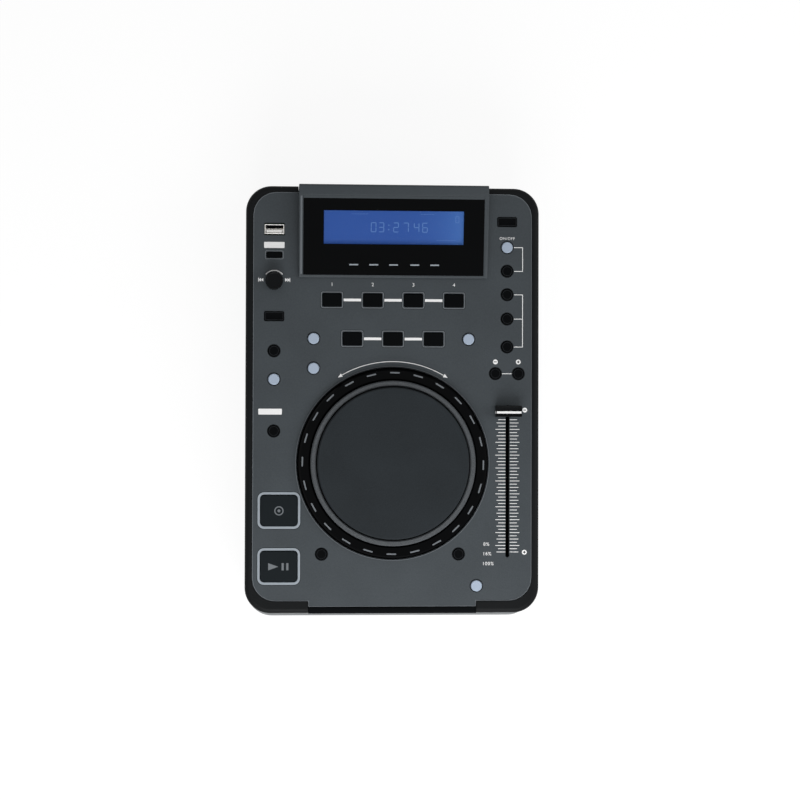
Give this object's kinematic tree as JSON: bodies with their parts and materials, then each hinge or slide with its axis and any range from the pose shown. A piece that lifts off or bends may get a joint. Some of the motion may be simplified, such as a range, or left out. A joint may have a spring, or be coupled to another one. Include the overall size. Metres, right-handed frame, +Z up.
{
  "type": "tabletop dj cd player",
  "caption": "Table-top disc player with jog wheel, pitch fader, raised display, deck keys, encoder knob, upward USB socket and a front disc slot.",
  "frame": {"origin": "on the ground under the middle of the case", "axes": "+Z up, +Y to the rear, +X to the right seen from the front"},
  "size_m": [0.218, 0.319, 0.0989],
  "materials": {
    "deck_metal": "dark grey satin paint",
    "bumper_plastic": "black moulded plastic",
    "pan_metal": "light grey paint",
    "panel_metal": "black paint",
    "window": "smoked and polished",
    "screen": "blue lit screen",
    "rubber": "black rubber",
    "steel": "plated steel",
    "board": "green boards",
    "fader_casing": "black moulding",
    "bearing": "turned",
    "socket_plastic": "black moulding",
    "knob_black": "black",
    "jog_gloss": "polished black",
    "jog_grain": "fine grey grain",
    "platter_grain": "dark grain",
    "key_lens": "frosted white",
    "key_black": "black"
  },
  "bodies": {
    "case": {"base_pan": "pan_metal", "left_bumper": "bumper_plastic", "right_bumper": "bumper_plastic", "top_plate": "deck_metal", "display_housing": "deck_metal", "display_window": "window", "lcd_module": "screen", "front_fascia": "bumper_plastic", "rear_panel": "panel_metal", "rubber_feet": "rubber", "case_screws": "steel", "main_board": "board", "control_board": "board", "usb_socket": "steel", "fader_body": "fader_casing", "jog_bearing": "bearing", "loader_frame": "steel", "spindle_motor": "steel", "power_board": "board", "mains_inlet": "socket_plastic", "audio_jacks": "socket_plastic"},
    "source_key": {"source_key": "key_black"},
    "folder_key": {"folder_key": "key_black"},
    "program_key": {"program_key": "key_black"},
    "relay_key": {"relay_key": "key_lens"},
    "jog_mode_key": {"jog_mode_key": "key_black"},
    "cue_key": {"cue_key": "key_black"},
    "play_key": {"play_key": "key_black"},
    "tap_key": {"tap_key": "key_black"},
    "range_key": {"range_key": "key_black"},
    "tempo_key": {"tempo_key": "key_lens"},
    "record_key": {"record_key": "key_lens"},
    "brake_key": {"brake_key": "key_lens"},
    "reverse_key": {"reverse_key": "key_lens"},
    "memory_1_key": {"memory_1_key": "key_black"},
    "memory_2_key": {"memory_2_key": "key_black"},
    "memory_3_key": {"memory_3_key": "key_black"},
    "memory_4_key": {"memory_4_key": "key_black"},
    "loop_in_key": {"loop_in_key": "key_black"},
    "loop_out_key": {"loop_out_key": "key_black"},
    "reloop_key": {"reloop_key": "key_black"},
    "eject_key": {"eject_key": "key_black"},
    "fx_key": {"fx_key": "key_lens"},
    "select_key": {"select_key": "key_black"},
    "title_key": {"title_key": "key_black"},
    "time_key": {"time_key": "key_black"},
    "single_key": {"single_key": "key_black"},
    "bend_minus_key": {"bend_minus_key": "key_black"},
    "bend_plus_key": {"bend_plus_key": "key_black"},
    "encoder": {"encoder_knob": "knob_black"},
    "fader": {"fader_lever": "steel", "fader_knob": "knob_black"},
    "jog": {"jog_ring": "jog_gloss", "jog_rim": "jog_grain", "jog_platter": "platter_grain"},
    "roller": {"loading_roller": "rubber"},
    "turntable": {"turntable_hub": "bearing"},
    "clamp": {"disc_clamp": "socket_plastic"},
    "sled": {"laser_sled": "socket_plastic"},
    "rocker": {"power_rocker": "socket_plastic"}
  },
  "joints": [
    {"name": "source_press", "type": "slide", "parent": "case", "child": "source_key", "axis": [0, 0.0698, -0.9976], "range_m": [0, 0.0008], "stiffness_N_per_m": 400, "springref_m": -0.0005},
    {"name": "folder_press", "type": "slide", "parent": "case", "child": "folder_key", "axis": [0, 0.0698, -0.9976], "range_m": [0, 0.0008], "stiffness_N_per_m": 400, "springref_m": -0.0005},
    {"name": "program_press", "type": "slide", "parent": "case", "child": "program_key", "axis": [0, 0.0698, -0.9976], "range_m": [0, 0.0008], "stiffness_N_per_m": 400, "springref_m": -0.0005},
    {"name": "relay_press", "type": "slide", "parent": "case", "child": "relay_key", "axis": [0, 0.0698, -0.9976], "range_m": [0, 0.0008], "stiffness_N_per_m": 400, "springref_m": -0.0005},
    {"name": "jog_mode_press", "type": "slide", "parent": "case", "child": "jog_mode_key", "axis": [0, 0.0698, -0.9976], "range_m": [0, 0.0008], "stiffness_N_per_m": 400, "springref_m": -0.0005},
    {"name": "cue_press", "type": "slide", "parent": "case", "child": "cue_key", "axis": [0, 0.0698, -0.9976], "range_m": [0, 0.0008], "stiffness_N_per_m": 900, "springref_m": -0.0005},
    {"name": "play_press", "type": "slide", "parent": "case", "child": "play_key", "axis": [0, 0.0698, -0.9976], "range_m": [0, 0.0008], "stiffness_N_per_m": 900, "springref_m": -0.0005},
    {"name": "tap_press", "type": "slide", "parent": "case", "child": "tap_key", "axis": [0, 0.0698, -0.9976], "range_m": [0, 0.0008], "stiffness_N_per_m": 400, "springref_m": -0.0005},
    {"name": "range_press", "type": "slide", "parent": "case", "child": "range_key", "axis": [0, 0.0698, -0.9976], "range_m": [0, 0.0008], "stiffness_N_per_m": 400, "springref_m": -0.0005},
    {"name": "tempo_press", "type": "slide", "parent": "case", "child": "tempo_key", "axis": [0, 0.0698, -0.9976], "range_m": [0, 0.0008], "stiffness_N_per_m": 400, "springref_m": -0.0005},
    {"name": "record_press", "type": "slide", "parent": "case", "child": "record_key", "axis": [0, 0.0698, -0.9976], "range_m": [0, 0.0008], "stiffness_N_per_m": 400, "springref_m": -0.0005},
    {"name": "brake_press", "type": "slide", "parent": "case", "child": "brake_key", "axis": [0, 0.0698, -0.9976], "range_m": [0, 0.0008], "stiffness_N_per_m": 400, "springref_m": -0.0005},
    {"name": "reverse_press", "type": "slide", "parent": "case", "child": "reverse_key", "axis": [0, 0.0698, -0.9976], "range_m": [0, 0.0008], "stiffness_N_per_m": 400, "springref_m": -0.0005},
    {"name": "memory_1_press", "type": "slide", "parent": "case", "child": "memory_1_key", "axis": [0, 0.0698, -0.9976], "range_m": [0, 0.0008], "stiffness_N_per_m": 400, "springref_m": -0.0005},
    {"name": "memory_2_press", "type": "slide", "parent": "case", "child": "memory_2_key", "axis": [0, 0.0698, -0.9976], "range_m": [0, 0.0008], "stiffness_N_per_m": 400, "springref_m": -0.0005},
    {"name": "memory_3_press", "type": "slide", "parent": "case", "child": "memory_3_key", "axis": [0, 0.0698, -0.9976], "range_m": [0, 0.0008], "stiffness_N_per_m": 400, "springref_m": -0.0005},
    {"name": "memory_4_press", "type": "slide", "parent": "case", "child": "memory_4_key", "axis": [0, 0.0698, -0.9976], "range_m": [0, 0.0008], "stiffness_N_per_m": 400, "springref_m": -0.0005},
    {"name": "loop_in_press", "type": "slide", "parent": "case", "child": "loop_in_key", "axis": [0, 0.0698, -0.9976], "range_m": [0, 0.0008], "stiffness_N_per_m": 400, "springref_m": -0.0005},
    {"name": "loop_out_press", "type": "slide", "parent": "case", "child": "loop_out_key", "axis": [0, 0.0698, -0.9976], "range_m": [0, 0.0008], "stiffness_N_per_m": 400, "springref_m": -0.0005},
    {"name": "reloop_press", "type": "slide", "parent": "case", "child": "reloop_key", "axis": [0, 0.0698, -0.9976], "range_m": [0, 0.0008], "stiffness_N_per_m": 400, "springref_m": -0.0005},
    {"name": "eject_press", "type": "slide", "parent": "case", "child": "eject_key", "axis": [0, 0.0698, -0.9976], "range_m": [0, 0.0008], "stiffness_N_per_m": 400, "springref_m": -0.0005},
    {"name": "fx_press", "type": "slide", "parent": "case", "child": "fx_key", "axis": [0, 0.0698, -0.9976], "range_m": [0, 0.0008], "stiffness_N_per_m": 400, "springref_m": -0.0005},
    {"name": "select_press", "type": "slide", "parent": "case", "child": "select_key", "axis": [0, 0.0698, -0.9976], "range_m": [0, 0.0008], "stiffness_N_per_m": 400, "springref_m": -0.0005},
    {"name": "title_press", "type": "slide", "parent": "case", "child": "title_key", "axis": [0, 0.0698, -0.9976], "range_m": [0, 0.0008], "stiffness_N_per_m": 400, "springref_m": -0.0005},
    {"name": "time_press", "type": "slide", "parent": "case", "child": "time_key", "axis": [0, 0.0698, -0.9976], "range_m": [0, 0.0008], "stiffness_N_per_m": 400, "springref_m": -0.0005},
    {"name": "single_press", "type": "slide", "parent": "case", "child": "single_key", "axis": [0, 0.0698, -0.9976], "range_m": [0, 0.0008], "stiffness_N_per_m": 400, "springref_m": -0.0005},
    {"name": "bend_minus_press", "type": "slide", "parent": "case", "child": "bend_minus_key", "axis": [0, 0.0698, -0.9976], "range_m": [0, 0.0008], "stiffness_N_per_m": 400, "springref_m": -0.0005},
    {"name": "bend_plus_press", "type": "slide", "parent": "case", "child": "bend_plus_key", "axis": [0, 0.0698, -0.9976], "range_m": [0, 0.0008], "stiffness_N_per_m": 400, "springref_m": -0.0005},
    {"name": "encoder_turn", "type": "hinge", "parent": "case", "child": "encoder", "pos_m": [-0.088, 0.08699, 0.08008], "axis": [0, -0.0698, 0.9976], "continuous": true},
    {"name": "fader_slide", "type": "slide", "parent": "case", "child": "fader", "axis": [0, -0.9976, -0.0698], "range_m": [0, 0.104]},
    {"name": "jog_spin", "type": "hinge", "parent": "case", "child": "jog", "pos_m": [0, -0.04699, 0.07071], "axis": [0, -0.0698, 0.9976], "continuous": true},
    {"name": "roller_spin", "type": "hinge", "parent": "case", "child": "roller", "pos_m": [0, -0.14, 0.0362], "axis": [1, 0, 0], "continuous": true},
    {"name": "turntable_spin", "type": "hinge", "parent": "case", "child": "turntable", "pos_m": [0, -0.076, 0.0418], "axis": [0, 0, 1], "continuous": true},
    {"name": "clamp_spin", "type": "hinge", "parent": "case", "child": "clamp", "pos_m": [0, -0.076, 0.0418], "axis": [0, 0, 1], "continuous": true},
    {"name": "sled_slide", "type": "slide", "parent": "case", "child": "sled", "axis": [0, 1, 0], "range_m": [0, 0.034]},
    {"name": "rocker_flip", "type": "hinge", "parent": "case", "child": "rocker", "pos_m": [0.0745, 0.14482, 0.036], "axis": [1, 0, 0], "range_deg": [-14, 0]}
  ],
  "couplings": [
    {"joint": "clamp_spin", "follows": "turntable_spin", "ratio": 1}
  ]
}
